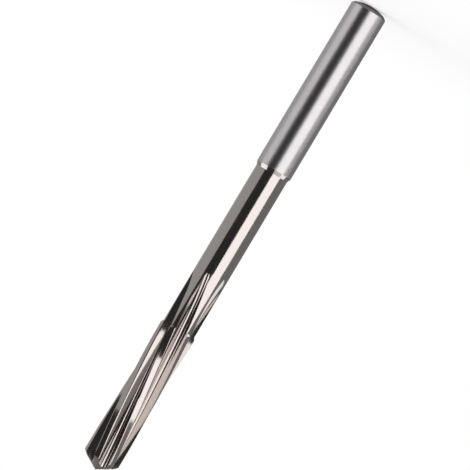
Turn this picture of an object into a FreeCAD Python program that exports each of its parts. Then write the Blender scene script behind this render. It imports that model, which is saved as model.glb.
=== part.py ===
"""Machine reamer, diameter 9: plain shank, recessed neck and six left-hand helical flutes.

Millimetres and degrees. The axis of the tool is +Z, with the crowned end of the shank at z = 0 and
the point at the top. It cuts clockwise seen from the shank. Angles within a section run backwards
from a cutting edge, which is clockwise seen from the point.
"""
import FreeCAD, Part
import math
import os

# ---- driving dimensions: the blank -------------------------------------------------------

overallLength = 125.0
shankDiameter = 9.0
shankLength = 44.1         # crowned end to the rim of the shoulder
crownRadius = 10.4         # convex end face of the shank
endChamferWidth = 0.75     # taken off the radius at the shank end
endChamferHeight = 0.6
shoulderLength = 0.95      # cone from the shank down to the neck
neckDiameter = 8.2
cuttingDiameter = 9.0
cuttingLength = 37.3       # start of the full lands to the point
stepLength = 0.75          # cone from the neck up to the lands
leadWidth = 0.9            # bevel lead, taken off the radius
leadAngle = 45.0           # bevel lead, from the axis
pointAngle = 120.0         # included angle of the point

# ---- driving dimensions: the teeth -------------------------------------------------------

toothPitches = (60.0, 62.0, 58.0, 60.0, 62.0, 58.0)   # uneven, so that the tool doesn't chatter
firstEdgeAngle = 61.6      # first cutting edge at the start of the full lands, from the X axis
helixAngle = 8.0           # left hand, at the cutting diameter
marginWidth = 0.15         # round land behind each cutting edge
landWidth = 1.35           # cutting edge to heel, along the circumference
reliefAngle = 18.0         # flat of the land behind its margin, from the tangent at the margin's end
heelTurn = 22.0            # corner between that flat and the back of the tooth
backRadius = 0.45          # convex back of the tooth
backAngle = 71.0           # steepest slope of the back, from the tangent at the heel
rootRadius = 0.85           # concave root of the flute
rakeAngle = 1.0            # face of the tooth, from the radius at its cutting edge
leadReliefAngle = 8.0      # fall of the bevel lead behind its cutting edge
wheelRadius = 60.0         # the grinding wheel leaves the flute along an arc of this radius
fullDepthLead = 0.5        # the flute is at full depth this far before the step

# ---- how the cutters are laid out --------------------------------------------------------

cutOver = 2.0              # how far a cutter reaches past the metal that it takes away
sectionSpacing = 5.0       # most between two sections along a flute
cubicSpan = 50.0           # most that one cubic turns through on a round edge

# ---- values worked out from them ---------------------------------------------------------

shankRadius = shankDiameter / 2
neckRadius = neckDiameter / 2
cuttingRadius = cuttingDiameter / 2
leadHeight = leadWidth / math.tan(math.radians(leadAngle))
pointRadius = cuttingRadius - leadWidth
pointHeight = pointRadius / math.tan(math.radians(pointAngle / 2))
landStart = overallLength - cuttingLength
leadStart = overallLength - pointHeight - leadHeight
stepStart = landStart - stepLength
fullDepthStart = stepStart - fullDepthLead
twistPerMm = math.degrees(math.tan(math.radians(helixAngle)) / cuttingRadius)
marginAngle = math.degrees(marginWidth / cuttingRadius)
landAngle = math.degrees(landWidth / cuttingRadius)

origin = FreeCAD.Vector(0, 0, 0)
axis = FreeCAD.Vector(0, 0, 1)


def direction(angle):
    """Unit vector in a section at this angle, backwards from a cutting edge on the X axis."""
    return FreeCAD.Vector(math.cos(math.radians(angle)), -math.sin(math.radians(angle)), 0)


def line(start, end):
    """Straight edge."""
    return Part.LineSegment(start, end).toShape()


def roundEdges(centre, radius, startAngle, endAngle):
    """Arc round a centre as cubics; a negative radius puts its centre outside the metal."""
    count = math.ceil(abs(endAngle - startAngle) / cubicSpan)
    span = (endAngle - startAngle) / count
    handle = radius * 4 / 3 * math.tan(math.radians(span) / 4)
    edges = []
    for index in range(count):
        first = startAngle + span * index
        last = first + span
        start = centre + direction(first) * radius
        end = centre + direction(last) * radius
        curve = Part.BezierCurve()
        curve.setPoles([
            start,
            start + direction(first + 90) * handle,
            end - direction(last + 90) * handle,
            end,
        ])
        edges.append(curve.toShape())
    return edges


# ---- the turned blank --------------------------------------------------------------------

def makeBlank():
    """The whole tool before its teeth are ground: one profile revolved about the axis."""

    def at(radius, height):
        return FreeCAD.Vector(radius, 0, height)

    def crownHeight(radius):
        return crownRadius - math.sqrt(crownRadius ** 2 - radius ** 2)

    crownEdge = shankRadius - endChamferWidth
    corners = [
        at(crownEdge, crownHeight(crownEdge)),
        at(shankRadius, crownHeight(crownEdge) + endChamferHeight),
        at(shankRadius, shankLength),
        at(neckRadius, shankLength + shoulderLength),
        at(neckRadius, stepStart),
        at(cuttingRadius, landStart),
        at(cuttingRadius, leadStart),
        at(pointRadius, leadStart + leadHeight),
        at(0, overallLength),
        at(0, 0),
    ]
    crown = Part.Arc(at(0, 0), at(crownEdge / 2, crownHeight(crownEdge / 2)), corners[0]).toShape()
    sides = [line(start, end) for start, end in zip(corners, corners[1:])]
    return Part.Face(Part.Wire([crown] + sides)).revolve(origin, axis, 360)


# ---- one land and one flute, in section --------------------------------------------------

def heelPoint():
    """Where the flat of the land meets the back of the tooth."""
    flatNormal = marginAngle + reliefAngle
    flatDistance = cuttingRadius * math.cos(math.radians(reliefAngle))
    return direction(landAngle) * (flatDistance / math.cos(math.radians(landAngle - flatNormal)))


def reliefSection():
    """Wire round what is ground off a land behind its round margin."""
    marginEnd = direction(marginAngle) * cuttingRadius
    alongFlat = (heelPoint() - marginEnd).normalize()
    outward = direction(marginAngle + reliefAngle) * cutOver
    start = marginEnd - alongFlat * cutOver
    end = heelPoint() + alongFlat * marginWidth
    return Part.makePolygon([start, end, end + outward, start + outward, start])


def fluteSection(pitch):
    """Wire round what the wheel takes out from a heel to the next edge, and its root's centre."""
    heel = heelPoint()
    edge = direction(pitch) * cuttingRadius
    heelNormal = marginAngle + reliefAngle + heelTurn
    backNormal = landAngle + backAngle
    faceNormal = pitch - rakeAngle - 90

    backCentre = heel - direction(heelNormal) * backRadius
    backEnd = backCentre + direction(backNormal) * backRadius

    # a straight run of the back, the root's arc and the straight face close the way to the edge
    alongBack = direction(backNormal + 90)
    alongFace = direction(faceNormal + 90)
    toEdge = edge - backEnd - (direction(backNormal) - direction(faceNormal)) * rootRadius
    rootStart = backEnd + alongBack * (toEdge.cross(alongFace).z / alongBack.cross(alongFace).z)
    rootCentre = rootStart + direction(backNormal) * rootRadius
    rootEnd = rootCentre - direction(faceNormal) * rootRadius

    pastHeel = heel - direction(heelNormal + 90) * cutOver
    pastEdge = edge + alongFace * cutOver
    sides = [line(pastHeel, heel)]
    sides += roundEdges(backCentre, backRadius, heelNormal, backNormal)
    sides.append(line(backEnd, rootStart))
    sides += roundEdges(rootCentre, -rootRadius, backNormal, faceNormal)
    sides.append(line(rootEnd, pastEdge))
    sides.append(line(pastEdge, pastHeel))
    return Part.Wire(sides), rootCentre


# ---- cutters that follow the helix -------------------------------------------------------

def spaced(start, end):
    """Heights from start to end, evenly spaced."""
    count = max(2, math.ceil((end - start) / sectionSpacing))
    return [start + (end - start) * index / count for index in range(count + 1)]


def helixTurn(edgeAngle, height):
    """Rotation of a section at this height, for a cutting edge at edgeAngle where lands start."""
    return -(edgeAngle + twistPerMm * (height - landStart))


def twistedCutter(section, edgeAngle, heights, shift):
    """Solid through copies of the section, each turned along the helix and shifted by height."""
    wires = []
    for height in heights:
        wire = section.copy()
        wire.translate(shift(height))
        wire.rotate(origin, axis, helixTurn(edgeAngle, height))
        wire.translate(axis * height)
        wires.append(wire)
    return Part.makeLoft(wires, True, False)


def makeRelief(edgeAngle):
    """Cutter for the flat of one land."""
    heights = spaced(stepStart - stepLength, overallLength + cutOver)
    return twistedCutter(reliefSection(), edgeAngle, heights, lambda height: origin)


def makeFlute(edgeAngle, pitch):
    """Cutter for the flute behind one land, with its run-out into the neck."""
    section, rootCentre = fluteSection(pitch)
    liftWay = FreeCAD.Vector(rootCentre).normalize()
    neckDepth = neckRadius - (rootCentre.Length - rootRadius)
    clearLift = neckDepth + rootRadius / 2
    runoutLength = math.sqrt(wheelRadius ** 2 - (wheelRadius - clearLift) ** 2)

    def lift(height):
        before = max(0.0, fullDepthStart - height)
        return liftWay * (wheelRadius - math.sqrt(wheelRadius ** 2 - before ** 2))

    runout = spaced(fullDepthStart - runoutLength, fullDepthStart)
    heights = runout[:-1] + spaced(fullDepthStart, overallLength + cutOver)
    return twistedCutter(section, edgeAngle, heights, lift)


def makeLeadRelief(edgeAngle):
    """Block whose underside is the relieved bevel lead of one tooth."""
    turn = helixTurn(edgeAngle, leadStart)
    block = Part.makeBox(2 * cutOver, 2 * cutOver, cutOver)
    block.translate(FreeCAD.Vector(-cutOver, -cutOver, 0))
    # the underside falls behind the cutting edge, then leans to the bevel's angle
    block.rotate(origin, FreeCAD.Vector(1, 0, 0), leadReliefAngle)
    block.rotate(origin, FreeCAD.Vector(0, 1, 0), 90 - leadAngle)
    block.translate(FreeCAD.Vector(cuttingRadius, 0, leadStart))
    block.rotate(origin, axis, turn)
    return block


# ---- the reamer --------------------------------------------------------------------------

def makeReamer():
    """The blank with a flute, a relieved land and a relieved bevel lead for each tooth."""
    cutters = []
    edgeAngle = firstEdgeAngle
    for pitch in toothPitches:
        cutters.append(makeFlute(edgeAngle, pitch))
        cutters.append(makeRelief(edgeAngle))
        cutters.append(makeLeadRelief(edgeAngle))
        edgeAngle += pitch
    return makeBlank().cut(cutters)


os.makedirs("parts", exist_ok=True)
reamer = makeReamer()
solid = reamer.Solids[0]
print("solids", len(reamer.Solids), "valid", solid.isValid(), "volume", round(solid.Volume, 1))
print("box", solid.BoundBox)
solid.exportStep("parts/reamer.step")
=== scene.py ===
import math
import bpy
import numpy as np
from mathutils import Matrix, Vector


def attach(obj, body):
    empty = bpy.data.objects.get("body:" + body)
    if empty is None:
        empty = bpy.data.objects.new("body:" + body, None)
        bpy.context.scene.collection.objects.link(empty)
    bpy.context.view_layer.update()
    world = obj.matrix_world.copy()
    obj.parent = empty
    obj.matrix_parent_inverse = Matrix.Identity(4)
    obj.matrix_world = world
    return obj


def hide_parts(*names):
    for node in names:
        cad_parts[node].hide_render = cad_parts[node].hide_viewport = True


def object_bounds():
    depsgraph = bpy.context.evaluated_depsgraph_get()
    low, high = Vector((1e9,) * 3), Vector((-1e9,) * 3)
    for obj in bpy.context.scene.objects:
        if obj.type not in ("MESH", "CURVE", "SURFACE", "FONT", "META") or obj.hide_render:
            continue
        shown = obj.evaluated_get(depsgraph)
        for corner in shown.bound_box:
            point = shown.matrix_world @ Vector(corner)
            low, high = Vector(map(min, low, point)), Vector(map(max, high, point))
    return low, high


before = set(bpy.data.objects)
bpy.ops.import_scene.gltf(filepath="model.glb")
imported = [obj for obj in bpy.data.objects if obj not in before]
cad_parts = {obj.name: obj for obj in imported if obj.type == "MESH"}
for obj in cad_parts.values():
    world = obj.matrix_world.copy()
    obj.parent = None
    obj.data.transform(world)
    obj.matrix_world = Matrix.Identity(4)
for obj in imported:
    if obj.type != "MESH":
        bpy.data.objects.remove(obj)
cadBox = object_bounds()
print("frame loaded")

# the reamer's shape, in millimetres and degrees: these are the values of the part's source

blank = {
    "crownRadius": 10.4,        # convex end of the shank
    "endChamferWidth": 0.75,
    "endChamferHeight": 0.6,
    "shankLength": 44.1,
    "shoulderLength": 0.95,     # cone down to the neck
    "neckRadius": 4.1,
    "cuttingRadius": 4.5,
    "cuttingLength": 37.3,      # full lands, up to the point
    "stepLength": 0.75,         # cone from the neck up to the lands
    "leadWidth": 0.9,           # bevel that cuts, taken off the radius
    "leadAngle": 45.0,
    "pointAngle": 120.0,
}

teeth = {
    "pitches": (60.0, 62.0, 58.0, 60.0, 62.0, 58.0),
    "firstEdge": 61.6,          # first cutting edge where the lands start
    "helix": 8.0,
    "margin": 0.15,             # round land behind the cutting edge
    "land": 1.35,
    "relief": 18.0,             # flat behind the margin
    "heelTurn": 22.0,
    "backRadius": 0.45,
    "backAngle": 71.0,
    "rootRadius": 0.85,
    "rake": 1.0,
    "leadRelief": 8.0,
    "wheelRadius": 60.0,        # arc on which the wheel leaves the flute
    "fullDepthLead": 0.5,
}

# rows and columns of the surface: what a user would refine or thin
mesh = {
    "landColumns": 12,          # round the tool between two flutes
    "fluteColumns": 40,         # across one flute
    "crownRows": 14,
    "shankRows": 12,
    "neckRows": 10,
    "runoutRows": 54,
    "stepRows": 8,
    "landRows": 84,
    "leadRows": 10,
    "pointRows": 22,
    "tipRows": 8,
    "sharpAngle": 11.0,         # edges that turn more than this stay crisp
    "pathSamples": 400,         # points on each of the six runs of a flute's section
    "runShares": (4.0, 9.0, 4.0, 20.0, 7.0, 4.0),   # how those runs share out the flute's columns
    "crowding": 1.8,            # how strongly rows crowd where a flute closes
    "leadMargin": 0.25,         # finer rows start this far below the bevel
}

overrun = 2                     # millimetres that a flute's section runs past its heel and edge
farOut = 1e3                    # a radius beyond everything
flatReach = 1.5                 # radians behind an edge in which its flat counts
bevelReach = 0.7                # and its bevel
bevelBelow, bevelAbove = 1, 0.3     # millimetres below and above the bevel in which it counts

toolLength = cadBox[1].z * 1000
shankRadius = cadBox[1].x * 1000
leadHeight = blank["leadWidth"] / math.tan(math.radians(blank["leadAngle"]))
pointRadius = blank["cuttingRadius"] - blank["leadWidth"]
pointSlope = 1 / math.tan(math.radians(blank["pointAngle"] / 2))   # height over radius on the point
landStart = toolLength - blank["cuttingLength"]
stepStart = landStart - blank["stepLength"]
leadStart = toolLength - pointRadius * pointSlope - leadHeight
fullDepthStart = stepStart - teeth["fullDepthLead"]
crownEdge = shankRadius - blank["endChamferWidth"]
crownHeight = blank["crownRadius"] - math.sqrt(blank["crownRadius"] ** 2 - crownEdge ** 2)
twist = math.tan(math.radians(teeth["helix"])) / blank["cuttingRadius"]   # radians per millimetre
marginTurn = teeth["margin"] / blank["cuttingRadius"]
landTurn = teeth["land"] / blank["cuttingRadius"]
flatNormal = marginTurn + math.radians(teeth["relief"])
flatDistance = blank["cuttingRadius"] * math.cos(math.radians(teeth["relief"]))


# a section is a complex plane: this is the unit direction that many radians behind a cutting edge
def behind(turn):
    return np.exp(-1j * np.asarray(turn))


# radius of the turned blank: straight runs between its corners, and a circle over the crown
def blankRadius(z):
    cornerHeights = [crownHeight, crownHeight + blank["endChamferHeight"], blank["shankLength"],
                     blank["shankLength"] + blank["shoulderLength"], stepStart, landStart, leadStart,
                     leadStart + leadHeight, toolLength]
    cornerRadii = [crownEdge, shankRadius, shankRadius, blank["neckRadius"], blank["neckRadius"],
                   blank["cuttingRadius"], blank["cuttingRadius"], pointRadius, 0]
    onCrown = np.sqrt(np.clip(z * (2 * blank["crownRadius"] - z), 0, None))
    return np.where(z < crownHeight, onCrown, np.interp(z, cornerHeights, cornerRadii))


# outer limit of one tooth: the least of the blank's circle, the flat behind the margin, d / cos(turn),
# and the plane of the relieved bevel, solved for the radius at that turn and height
def toothRadius(turn, z):
    flat = flatDistance / np.cos(turn - flatNormal)
    flat = np.where((turn > marginTurn) & (turn < flatReach), flat, farOut)
    lean = math.radians(90 - blank["leadAngle"])
    fall = math.radians(teeth["leadRelief"])
    outward = (math.cos(fall) * math.sin(lean), math.sin(fall), math.cos(fall) * math.cos(lean))
    reach = outward[0] * blank["cuttingRadius"] - outward[2] * (z - leadStart)
    bevel = reach / (outward[0] * np.cos(turn) + outward[1] * np.sin(turn))
    near = (z > leadStart - bevelBelow) & (z < leadStart + leadHeight + bevelAbove)
    bevel = np.where(near & (turn < bevelReach), bevel, farOut)
    return np.minimum(np.minimum(blankRadius(z), flat), bevel)


# cross product of two directions in the section's plane: the imaginary part of conj(a) times b
def crossProduct(a, b):
    return (np.conj(a) * b).imag


# section of one flute from past the heel to past the next edge: a tangent line, the round back, a
# straight, the hollow root and the straight face; gives its points and the lowest point of the root
def flutePath(pitch):
    heelNormal = flatNormal + math.radians(teeth["heelTurn"])
    backNormal = landTurn + math.radians(teeth["backAngle"])
    faceNormal = pitch - math.radians(teeth["rake"] + 90)
    heel = behind(landTurn) * flatDistance / math.cos(landTurn - flatNormal)
    edge = behind(pitch) * blank["cuttingRadius"]
    backCentre = heel - behind(heelNormal) * teeth["backRadius"]
    backEnd = backCentre + behind(backNormal) * teeth["backRadius"]
    alongBack = behind(backNormal + math.pi / 2)
    alongFace = behind(faceNormal + math.pi / 2)
    toEdge = edge - backEnd - (behind(backNormal) - behind(faceNormal)) * teeth["rootRadius"]
    rootStart = backEnd + alongBack * crossProduct(toEdge, alongFace) / crossProduct(alongBack, alongFace)
    rootCentre = rootStart + behind(backNormal) * teeth["rootRadius"]
    rootEnd = rootCentre - behind(faceNormal) * teeth["rootRadius"]
    share = np.linspace(0, 1, mesh["pathSamples"])
    runs = [
        heel - behind(heelNormal + math.pi / 2) * overrun * (1 - share),
        backCentre + behind(heelNormal + (backNormal - heelNormal) * share) * teeth["backRadius"],
        backEnd + (rootStart - backEnd) * share,
        rootCentre - behind(backNormal + (faceNormal - backNormal) * share) * teeth["rootRadius"],
        rootEnd + (edge - rootEnd) * share,
        edge + alongFace * overrun * share,
    ]
    spans = np.array(mesh["runShares"])
    starts = np.concatenate([[0], np.cumsum(spans)])
    along = np.concatenate([starts[i] + spans[i] * share[:-1] for i in range(len(runs))])
    points = np.concatenate([run[:-1] for run in runs])
    lowest = rootCentre * (1 - teeth["rootRadius"] / abs(rootCentre))
    return along, points, lowest, np.argmin(abs(points))


# heights of a run of rows that crowd towards one end or the other by a power
def crowd(start, end, rows, power=1.0, atEnd=False):
    share = np.linspace(0, 1, rows + 1)
    share = 1 - (1 - share) ** power if atEnd else share ** power
    return start + (end - start) * share[1:]


# where the lifted section crosses the tooth's limit, walking from the root to one side: the first
# change of sign, placed by a straight line between its two neighbours
def crossing(along, outside, root, step):
    walk = outside[:, root::step]
    alongWalk = along[root::step]
    after = np.maximum(np.argmax(walk > 0, axis=1), 1)
    rows = np.arange(len(walk))
    low, high = walk[rows, after - 1], walk[rows, after]
    share = np.clip(-low / (high - low), 0, 1)
    return alongWalk[after - 1] + (alongWalk[after] - alongWalk[after - 1]) * share


# the reamer's whole surface: rows up the tool, and for each tooth a strip of land and a flute, each
# point a section point turned by the helix; the flutes close to a point at both ends
def reamerSurface():
    landColumns, fluteColumns = mesh["landColumns"], mesh["fluteColumns"]
    pitches = np.radians(teeth["pitches"])
    count = len(pitches)
    edgeTurns = math.radians(teeth["firstEdge"]) + np.concatenate([[0], np.cumsum(pitches)[:-1]])
    paths = [flutePath(pitch) for pitch in pitches]
    lowest = np.array([path[2] for path in paths])
    wheel = teeth["wheelRadius"]
    depth = blank["neckRadius"] - abs(lowest)
    runoutStart = fullDepthStart - np.sqrt(wheel ** 2 - (wheel - depth) ** 2)
    pointEnd = toolLength - abs(lowest) * pointSlope

    # rows of the fluted length, one column of heights for each flute: those in the middle are level
    finer = leadStart - mesh["leadMargin"]
    leadEnd = leadStart + leadHeight
    level = np.concatenate([
        crowd(fullDepthStart, stepStart, 2),
        crowd(stepStart, landStart, mesh["stepRows"]),
        crowd(landStart, finer, mesh["landRows"]),
        crowd(finer, leadStart, 4),
        crowd(leadStart, leadEnd, mesh["leadRows"]),
    ])
    runoutShare = crowd(0, 1, mesh["runoutRows"], mesh["crowding"])[:, None]
    pointShare = crowd(0, 1, mesh["pointRows"], mesh["crowding"], True)[:, None]
    cut = np.concatenate([
        runoutStart[None],
        runoutStart + (fullDepthStart - runoutStart) * runoutShare,
        np.repeat(level[:, None], count, axis=1),
        leadEnd + (pointEnd - leadStart - leadHeight) * pointShare,
    ])

    # each flute's section between its two crossings, and the turns of those crossings
    fluteShare = np.linspace(0, 1, fluteColumns + 1)
    flute = np.empty((len(cut), count, fluteColumns + 1), complex)
    for i, (along, points, low, root) in enumerate(paths):
        before = np.clip(fullDepthStart - cut[:, i], 0, None)
        lift = wheel - np.sqrt(wheel ** 2 - before ** 2)
        lifted = points[None, :] + (lift * low / abs(low))[:, None]
        heelTurns = -np.angle(lifted)
        edgeSide = -np.angle(lifted * np.exp(1j * pitches[i]))
        z = cut[:, i][:, None]
        start = crossing(along, abs(lifted) - toothRadius(heelTurns, z), root, -1)
        end = crossing(along, abs(lifted) - toothRadius(edgeSide, z), root, 1)
        at = start[:, None] + (end - start)[:, None] * fluteShare
        flute[:, i] = np.interp(at, along, points.real) + 1j * np.interp(at, along, points.imag)
        flute[:, i] += (lift * low / abs(low))[:, None]
        flute[[0, -1], i] = low / abs(low) * blankRadius(cut[[0, -1], i])[:, None]

    # the strips of land, from the crossing of the flute ahead to that of the flute behind
    marginShare = marginTurn / landTurn
    landShare = np.concatenate([[0, marginShare / 2], np.linspace(marginShare, 1, landColumns - 1)])
    heelTurn = -np.angle(flute[:, :, 0])
    edgeTurn = np.roll(-np.angle(flute[:, :, -1] * np.exp(1j * pitches)[None, :]), 1, axis=1)
    aheadHeight = np.roll(cut, 1, axis=1)
    landTurns = edgeTurn[..., None] + (heelTurn - edgeTurn)[..., None] * landShare
    landHeights = aheadHeight[..., None] + (cut - aheadHeight)[..., None] * landShare
    land = behind(landTurns) * toothRadius(landTurns, landHeights)
    land[..., 0] = abs(np.roll(flute[:, :, -1], 1, axis=1)) * behind(edgeTurn)
    land[..., -1] = flute[:, :, 0]

    # turned into place along the helix
    section = np.concatenate([land, flute[..., 1:-1]], axis=2)
    heights = np.concatenate([landHeights, np.repeat(cut[..., None], fluteColumns - 1, axis=2)], axis=2)
    section = section * behind(edgeTurns[None, :, None] + twist * (heights - landStart))
    ring = section.shape[1] * section.shape[2]
    section, heights = section.reshape(len(cut), ring), heights.reshape(len(cut), ring)

    # plain round rows below and above, on the turns of the first and the last fluted row
    shoulder = blank["shankLength"] + blank["shoulderLength"]
    crownRadii = np.linspace(0, crownEdge, mesh["crownRows"] + 1)
    lower = list(blank["crownRadius"] - np.sqrt(blank["crownRadius"] ** 2 - crownRadii ** 2))
    lower += list(crowd(crownHeight, crownHeight + blank["endChamferHeight"], 2))
    lower += list(crowd(lower[-1], blank["shankLength"], mesh["shankRows"]))
    lower += list(crowd(blank["shankLength"], shoulder, 3))
    lower = np.array(lower)[:, None] * np.ones(ring)
    neckShare = np.linspace(0, 1, mesh["neckRows"] + 1)[1:-1, None]
    neck = shoulder + (heights[0] - shoulder) * neckShare
    tipShare = np.linspace(0, 1, mesh["tipRows"] + 1)[1:, None]
    upper = heights[-1] + (toolLength - heights[-1]) * tipShare
    lower = np.concatenate([lower, neck])
    rows = np.concatenate([lower, heights, upper])
    around = np.concatenate([
        np.exp(1j * np.angle(section[0])) * blankRadius(lower),
        section,
        np.exp(1j * np.angle(section[-1])) * blankRadius(upper),
    ])
    vertices = np.stack([around.real, around.imag, rows], axis=-1)

    # one number for each vertex; where a flute has closed, its columns share the land's last one
    number = np.arange(rows.size).reshape(len(rows), count, landColumns + fluteColumns)
    closed = np.r_[0:len(lower) + 1, len(lower) + len(cut) - 1:len(rows)]
    last = number[closed][:, :, landColumns]
    number[closed, :, landColumns:] = last[..., None]
    number[closed, :, 0] = np.roll(last, 1, axis=1)
    number = number.reshape(len(rows), ring)
    number[0] = number[0, 0]
    number[-1] = number[-1, 0]
    return vertices.reshape(-1, 3) / 1000, number


# faces between neighbouring rows and columns: four corners, or three where two of them are shared
def stitch(number):
    beside = np.roll(number, -1, axis=1)
    quads = np.stack([number[:-1], number[1:], beside[1:], beside[:-1]], axis=-1).reshape(-1, 4)
    same = quads == np.roll(quads, -1, axis=1)
    full = quads[~same.any(axis=1)]
    single = same.sum(axis=1) == 1
    keep = ~same[single]
    triangles = quads[single][keep].reshape(-1, 3)
    return full, triangles


# puts arrays of vertices, quads and triangles into a new mesh object, with its edges crisp or smooth
def makePiece(name, vertices, quads, triangles, sharpAngle):
    used = np.unique(np.concatenate([quads.ravel(), triangles.ravel()]))
    renumber = np.zeros(len(vertices), int)
    renumber[used] = np.arange(len(used))
    loops = np.concatenate([renumber[quads].ravel(), renumber[triangles].ravel()])
    sizes = np.concatenate([np.full(len(quads), 4), np.full(len(triangles), 3)])
    starts = np.concatenate([[0], np.cumsum(sizes)[:-1]])
    data = bpy.data.meshes.new(name)
    data.vertices.add(len(used))
    data.vertices.foreach_set("co", vertices[used].astype(np.float32).ravel())
    data.loops.add(len(loops))
    data.loops.foreach_set("vertex_index", loops.astype(np.int32))
    data.polygons.add(len(sizes))
    data.polygons.foreach_set("loop_start", starts.astype(np.int32))
    data.update(calc_edges=True)
    data.validate()
    data.shade_smooth()
    data.set_sharp_from_angle(angle=math.radians(sharpAngle))
    piece = bpy.data.objects.new(name, data)
    bpy.context.scene.collection.objects.link(piece)
    return piece


vertices, number = reamerSurface()
quads, triangles = stitch(number)
reamerSteel = makePiece("reamer_steel", vertices, quads, triangles, mesh["sharpAngle"])
print("reamer surface made:", len(quads), "quads and", len(triangles), "triangles")

# the finishes of the shank and of the polished rest
finish = {
    "shankColour": (0.76, 0.725, 0.73, 1),
    "shankRoughness": 0.36,
    "shankBrushing": 0.6,       # how much further the ground lines spread light along the tool
    "shankLines": 0.04,         # change of roughness from one ground line to the next
    "shankGrain": (60, 60, 6000),       # lines a metre across the tool and along it
    "shankLift": 2e-7,          # metres that a line stands up
    "polishColour": (0.66, 0.60, 0.575, 1),
    "polishRoughness": 0.12,
    "polishLines": 0.05,
    "polishGrain": (2500, 2500, 25),
    "polishLift": 3e-7,
    "noiseDetail": 3,
    "noiseRange": (0.3, 0.7),   # the noise's values that take the least and the most roughness
}


# a node material, with its nodes and links
def newMaterial(name):
    material = bpy.data.materials.new(name)
    material.use_nodes = True
    return material, material.node_tree.nodes, material.node_tree.links


# steel with fine lines: noise on Object coordinates, long one way and short the other, that moves the
# roughness and lifts the surface by a fraction of a micron; the coordinates are first turned about Z
# by unwind times height
def linedSteel(name, colour, roughness, change, grain, unwind, lift):
    material, nodes, links = newMaterial(name)
    shader = nodes["Principled BSDF"]
    shader.inputs["Base Color"].default_value = colour
    shader.inputs["Metallic"].default_value = 1
    place = nodes.new("ShaderNodeTexCoord")
    split = nodes.new("ShaderNodeSeparateXYZ")
    turn = nodes.new("ShaderNodeMath")
    turn.operation = "MULTIPLY"
    turn.inputs[1].default_value = unwind
    unwound = nodes.new("ShaderNodeVectorRotate")
    unwound.rotation_type = "Z_AXIS"
    stretch = nodes.new("ShaderNodeMapping")
    stretch.inputs["Scale"].default_value = grain
    lines = nodes.new("ShaderNodeTexNoise")
    lines.inputs["Scale"].default_value = 1
    lines.inputs["Detail"].default_value = finish["noiseDetail"]
    spread = nodes.new("ShaderNodeMapRange")
    spread.inputs["From Min"].default_value = finish["noiseRange"][0]
    spread.inputs["From Max"].default_value = finish["noiseRange"][1]
    spread.inputs["To Min"].default_value = roughness - change
    spread.inputs["To Max"].default_value = roughness + change
    bump = nodes.new("ShaderNodeBump")
    bump.inputs["Strength"].default_value = 1
    bump.inputs["Distance"].default_value = lift
    links.new(place.outputs["Object"], split.inputs[0])
    links.new(split.outputs["Z"], turn.inputs[0])
    links.new(place.outputs["Object"], unwound.inputs["Vector"])
    links.new(turn.outputs[0], unwound.inputs["Angle"])
    links.new(unwound.outputs[0], stretch.inputs["Vector"])
    links.new(stretch.outputs[0], lines.inputs["Vector"])
    links.new(lines.outputs["Fac"], spread.inputs["Value"])
    links.new(spread.outputs["Result"], shader.inputs["Roughness"])
    links.new(lines.outputs["Fac"], bump.inputs["Height"])
    links.new(bump.outputs["Normal"], shader.inputs["Normal"])
    return material, nodes, links


# the shank's lines run round it, the polished part's along its flutes
groundSteel, nodes, links = linedSteel(
    "ground_steel", finish["shankColour"], finish["shankRoughness"], finish["shankLines"],
    finish["shankGrain"], 0, finish["shankLift"])
shader = nodes["Principled BSDF"]
shader.inputs["Anisotropic"].default_value = finish["shankBrushing"]
shader.inputs["Anisotropic Rotation"].default_value = 0.25
around = nodes.new("ShaderNodeTangent")
around.direction_type = "RADIAL"
around.axis = "Z"
links.new(around.outputs["Tangent"], shader.inputs["Tangent"])
polishedSteel, nodes, links = linedSteel(
    "polished_steel", finish["polishColour"], finish["polishRoughness"], finish["polishLines"],
    finish["polishGrain"], twist * 1000, finish["polishLift"])
reamerSteel.data.materials.append(groundSteel)
reamerSteel.data.materials.append(polishedSteel)
centres = np.empty(len(reamerSteel.data.polygons) * 3, np.float32)
reamerSteel.data.polygons.foreach_get("center", centres)
polished = centres.reshape(-1, 3)[:, 2] * 1000 > blank["shankLength"]
reamerSteel.data.polygons.foreach_set("material_index", polished.astype(np.int32))
reamerSteel.data.update()
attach(reamerSteel, "root")
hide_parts("reamer")
print("finishes made")

# the studio round the tool
studio = {
    "tentRadius": 1.5,          # metres from the tool
    "tentCentre": 0.06,         # height of its middle
    "fillInset": 0.1,           # the fill panels hang this far in front of the tent
    "panelGrid": 33,            # points along each side of a panel
    "fadeElevation": 65.0,      # a panel's light has stopped falling off at this elevation
    "sharpAngle": 30.0,
    "skyLevel": 1.0,
}

# the panels of a light tent: edges in degrees round the tool from the camera, lowest and highest
# elevation, brightness at the middle height, and the share of it that is left high up and low down
panels = {
    "panel_key": (9.0, 66.0, -90.0, 90.0, 1.42, 0.45),
    "panel_dark": (-52.0, 9.0, -90.0, 90.0, 0.03, 1.3),
    "panel_right": (66.0, 180.0, -90.0, 90.0, 0.2, 0.8),
    "panel_left": (-180.0, -52.0, -90.0, 90.0, 0.4, 0.5),
    "fill_left_high": (-104.0, -50.0, 14.0, 42.0, 1.4, 1.0),
    "fill_left_low": (-104.0, -50.0, -42.0, -14.0, 1.4, 1.0),
    "fill_right_high": (66.0, 104.0, 14.0, 42.0, 1.3, 1.0),
    "fill_right_low": (66.0, 104.0, -42.0, -14.0, 1.3, 1.0),
    "fill_back_low": (160.0, 200.0, -60.0, -4.0, 0.03, 1.0),
}


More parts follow.
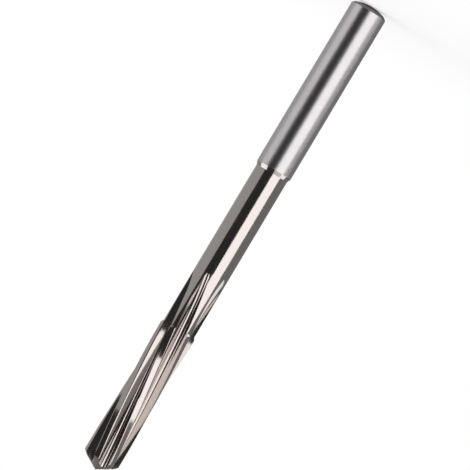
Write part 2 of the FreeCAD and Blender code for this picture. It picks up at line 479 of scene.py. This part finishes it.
# a panel of a round tent: azimuth a and elevation e give r (-cos e sin a, -cos e cos a, sin e)
def panelSurface(first, last, bottom, top, radius):
    azimuth, elevation = np.meshgrid(np.radians(np.linspace(first, last, studio["panelGrid"])),
                                     np.radians(np.linspace(bottom, top, studio["panelGrid"])))
    points = np.stack([
        -np.cos(elevation) * np.sin(azimuth),
        -np.cos(elevation) * np.cos(azimuth),
        np.sin(elevation),
    ], axis=-1) * radius + (0, 0, studio["tentCentre"])
    grid = np.arange(azimuth.size).reshape(azimuth.shape)
    corners = np.stack([grid[:-1, :-1], grid[:-1, 1:], grid[1:, 1:], grid[1:, :-1]], axis=-1)
    return points.reshape(-1, 3), corners.reshape(-1, 4)


for name, (first, last, bottom, top, level, share) in panels.items():
    inset = studio["fillInset"] if name.startswith("fill") else 0
    points, corners = panelSurface(first, last, bottom, top, studio["tentRadius"] - inset)
    panel = makePiece(name, points, corners, np.empty((0, 3), int), studio["sharpAngle"])
    material, nodes, links = newMaterial(name)
    nodes.remove(nodes["Principled BSDF"])
    glow = nodes.new("ShaderNodeEmission")
    position = nodes.new("ShaderNodeTexCoord")
    height = nodes.new("ShaderNodeSeparateXYZ")
    offMiddle = nodes.new("ShaderNodeMath")
    offMiddle.operation = "ABSOLUTE"
    falloff = nodes.new("ShaderNodeMapRange")
    falloff.interpolation_type = "SMOOTHSTEP"
    fadeHeight = studio["tentRadius"] * math.sin(math.radians(studio["fadeElevation"]))
    falloff.inputs["From Max"].default_value = fadeHeight
    falloff.inputs["To Min"].default_value = level
    falloff.inputs["To Max"].default_value = level * share
    links.new(position.outputs["Object"], height.inputs[0])
    links.new(height.outputs["Z"], offMiddle.inputs[0])
    links.new(offMiddle.outputs[0], falloff.inputs["Value"])
    links.new(falloff.outputs["Result"], glow.inputs["Strength"])
    links.new(glow.outputs[0], nodes["Material Output"].inputs["Surface"])
    panel.data.materials.append(material)
    panel.visible_camera = False
    panel.visible_shadow = False
    panel.visible_diffuse = False

print("light tent made")

# a floor that fades to the white of the background with distance, and keeps the tool's shadow
ground = {
    "radius": 0.9,              # metres
    "sides": 96,
    "colour": (0.95, 0.95, 0.95, 1),
    "roughness": 0.9,
    "nearGlow": 0.45,           # share of plain white at the tool
    "fadeEnd": 0.2,             # metres from the tool where the floor is all white
}

# a disc: the middle, then points (cos a, sin a) times the radius, joined in triangles
floorAngles = np.linspace(0, 2 * math.pi, ground["sides"], endpoint=False)
floorPoints = np.stack([np.cos(floorAngles), np.sin(floorAngles), np.zeros(ground["sides"])], axis=-1)
floorPoints = np.concatenate([[[0, 0, 0]], floorPoints * ground["radius"]])
rim = np.arange(ground["sides"])
floorFaces = np.stack([np.zeros_like(rim), 1 + rim, 1 + (rim + 1) % ground["sides"]], axis=-1)
floor = makePiece("floor", floorPoints, np.empty((0, 4), int), floorFaces, studio["sharpAngle"])
material, nodes, links = newMaterial("floor_paint")
paint = nodes["Principled BSDF"]
paint.inputs["Base Color"].default_value = ground["colour"]
paint.inputs["Roughness"].default_value = ground["roughness"]
paint.inputs["Specular IOR Level"].default_value = 0
glow = nodes.new("ShaderNodeEmission")
position = nodes.new("ShaderNodeTexCoord")
distance = nodes.new("ShaderNodeVectorMath")
distance.operation = "LENGTH"
fade = nodes.new("ShaderNodeMapRange")
fade.interpolation_type = "SMOOTHSTEP"
fade.inputs["From Min"].default_value = 0
fade.inputs["From Max"].default_value = ground["fadeEnd"]
fade.inputs["To Min"].default_value = ground["nearGlow"]
mix = nodes.new("ShaderNodeMixShader")
links.new(position.outputs["Object"], distance.inputs[0])
links.new(distance.outputs["Value"], fade.inputs["Value"])
links.new(fade.outputs["Result"], mix.inputs["Fac"])
links.new(paint.outputs[0], mix.inputs[1])
links.new(glow.outputs[0], mix.inputs[2])
links.new(mix.outputs[0], nodes["Material Output"].inputs["Surface"])
floor.data.materials.append(material)
floor.visible_glossy = False

world = bpy.data.worlds.new("studio_air")
world.use_nodes = True
world.node_tree.nodes["Background"].inputs["Color"].default_value = (1, 1, 1, 1)
world.node_tree.nodes["Background"].inputs["Strength"].default_value = studio["skyLevel"]
bpy.context.scene.world = world
bpy.context.scene.view_settings.view_transform = "Standard"
print("studio made")

# the camera looks straight along Y at the upright tool, and is rolled
view = {
    "aimHeight": 0.0617,        # metres up the tool's axis
    "distance": 1.0,
    "roll": 210.86,             # degrees that the picture is turned
    "lens": 330.2,              # millimetres, on a sensor of the next width
    "sensor": 36,
}

cameraData = bpy.data.cameras.new("camera")
cameraData.sensor_width = view["sensor"]
cameraData.lens = view["lens"]
camera = bpy.data.objects.new("camera", cameraData)
bpy.context.scene.collection.objects.link(camera)
camera.location = (0, -view["distance"], view["aimHeight"])
camera.rotation_euler = (math.pi / 2, math.radians(-view["roll"]), 0)
bpy.context.scene.camera = camera
print("camera placed")
